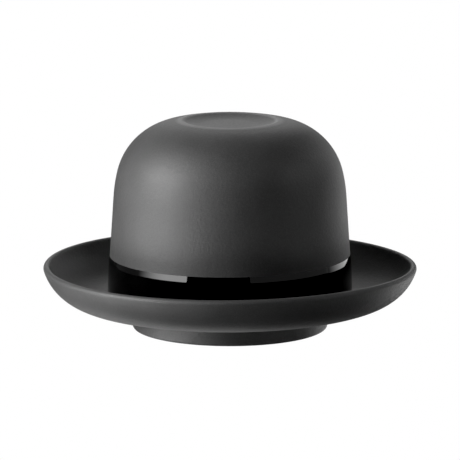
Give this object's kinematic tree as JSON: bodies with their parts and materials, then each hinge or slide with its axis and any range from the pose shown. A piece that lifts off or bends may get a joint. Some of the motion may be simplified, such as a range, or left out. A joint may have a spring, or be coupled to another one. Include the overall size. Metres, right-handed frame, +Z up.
{
  "type": "bowler hat cup and saucer",
  "caption": "Handleless cup that stands mouth down on its saucer, so that the pair has the shape of a bowler hat: the cup is the crown, the saucer the brim and a gloss glaze band the ribbon.",
  "frame": {"origin": "on the axis of cup and saucer, at the surface the saucer stands on", "axes": "+Z up along the axis of revolution, which is also the way the cup lifts off; the object is round, so +X and +Y are free"},
  "size_m": [0.15, 0.15, 0.0843],
  "materials": {
    "saucer_stoneware": "fine-grained matte black stoneware, unglazed and smoothed",
    "cup_stoneware": "fine-grained matte black stoneware, unglazed and smoothed",
    "band_glaze": "black gloss glaze",
    "liner_glaze": "black gloss glaze"
  },
  "bodies": {
    "saucer": {"saucer_body": "saucer_stoneware"},
    "cup": {"cup_body": "cup_stoneware", "cup_band_glaze": "band_glaze", "cup_liner_glaze": "liner_glaze"}
  },
  "joints": [
    {"name": "cup_lift", "type": "slide", "parent": "saucer", "child": "cup", "axis": [0, 0, 1], "range_m": [0, 0.12]}
  ]
}
